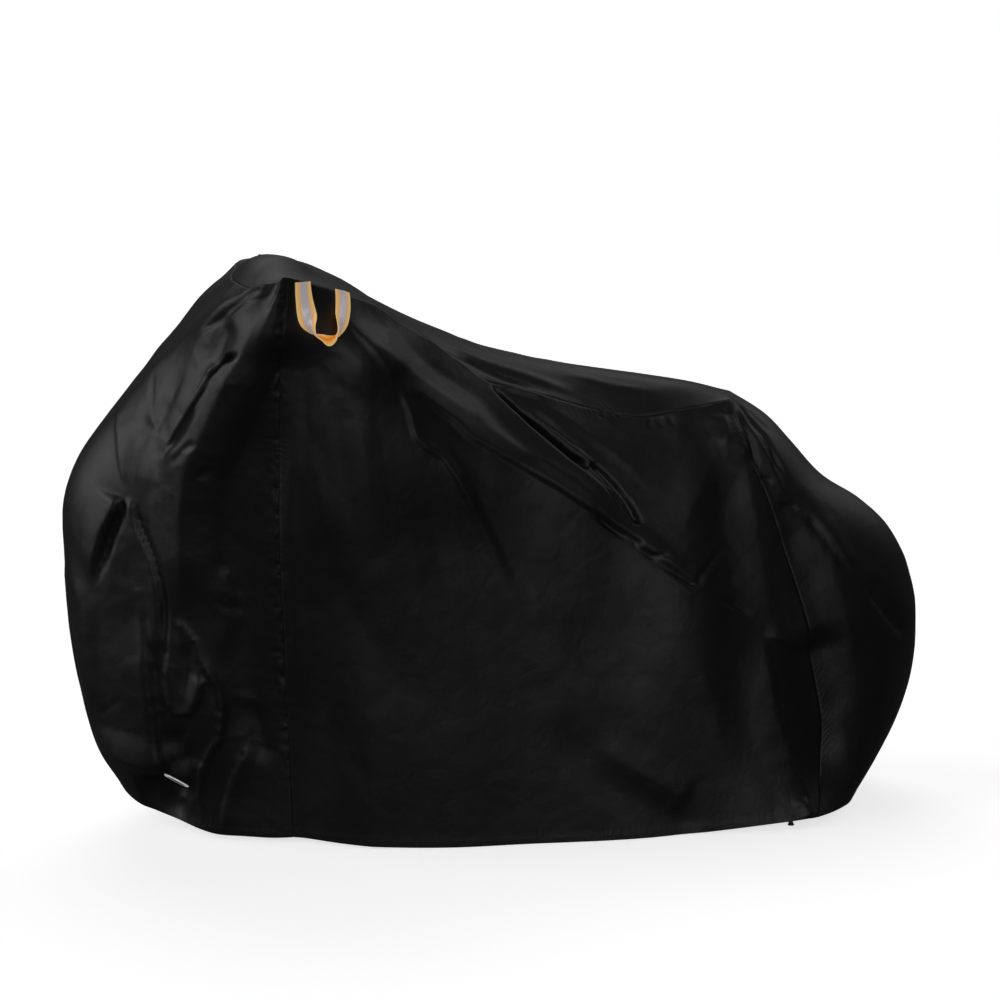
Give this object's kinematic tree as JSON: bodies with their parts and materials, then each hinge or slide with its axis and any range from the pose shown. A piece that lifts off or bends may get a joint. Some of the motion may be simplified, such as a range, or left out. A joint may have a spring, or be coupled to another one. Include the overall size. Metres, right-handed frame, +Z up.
{
  "type": "bicycle cover",
  "caption": "Draped black bicycle cover, high over the handlebar and lower over the saddle, with a webbing loop by the bar end, a lock eyelet low in front and a cord at its hem.",
  "frame": {"origin": "on the ground under the middle of the cover, at the bottom centre of its bounding box", "axes": "+X along the bicycle from its front wheel to its rear wheel, +Y across it to its right, +Z up"},
  "size_m": [1.779, 0.6877, 1.1447],
  "materials": {
    "cloth_black": "satin coated woven cloth",
    "ring_steel": "bright rolled steel",
    "webbing_orange": "matt woven webbing",
    "tape_silver": "reflective tape",
    "cord_black": "matt braided cord",
    "end_black": "moulded, satin"
  },
  "bodies": {
    "root": {"front_panel": "cloth_black", "side_panel_left": "cloth_black", "side_panel_right": "cloth_black", "top_rear_panel": "cloth_black", "eyelet_strip": "cloth_black", "lock_eyelet": "ring_steel", "webbing_loop": "webbing_orange", "loop_reflective_tape": "tape_silver", "drawcord": "cord_black", "drawcord_end": "end_black"}
  },
  "joints": []
}
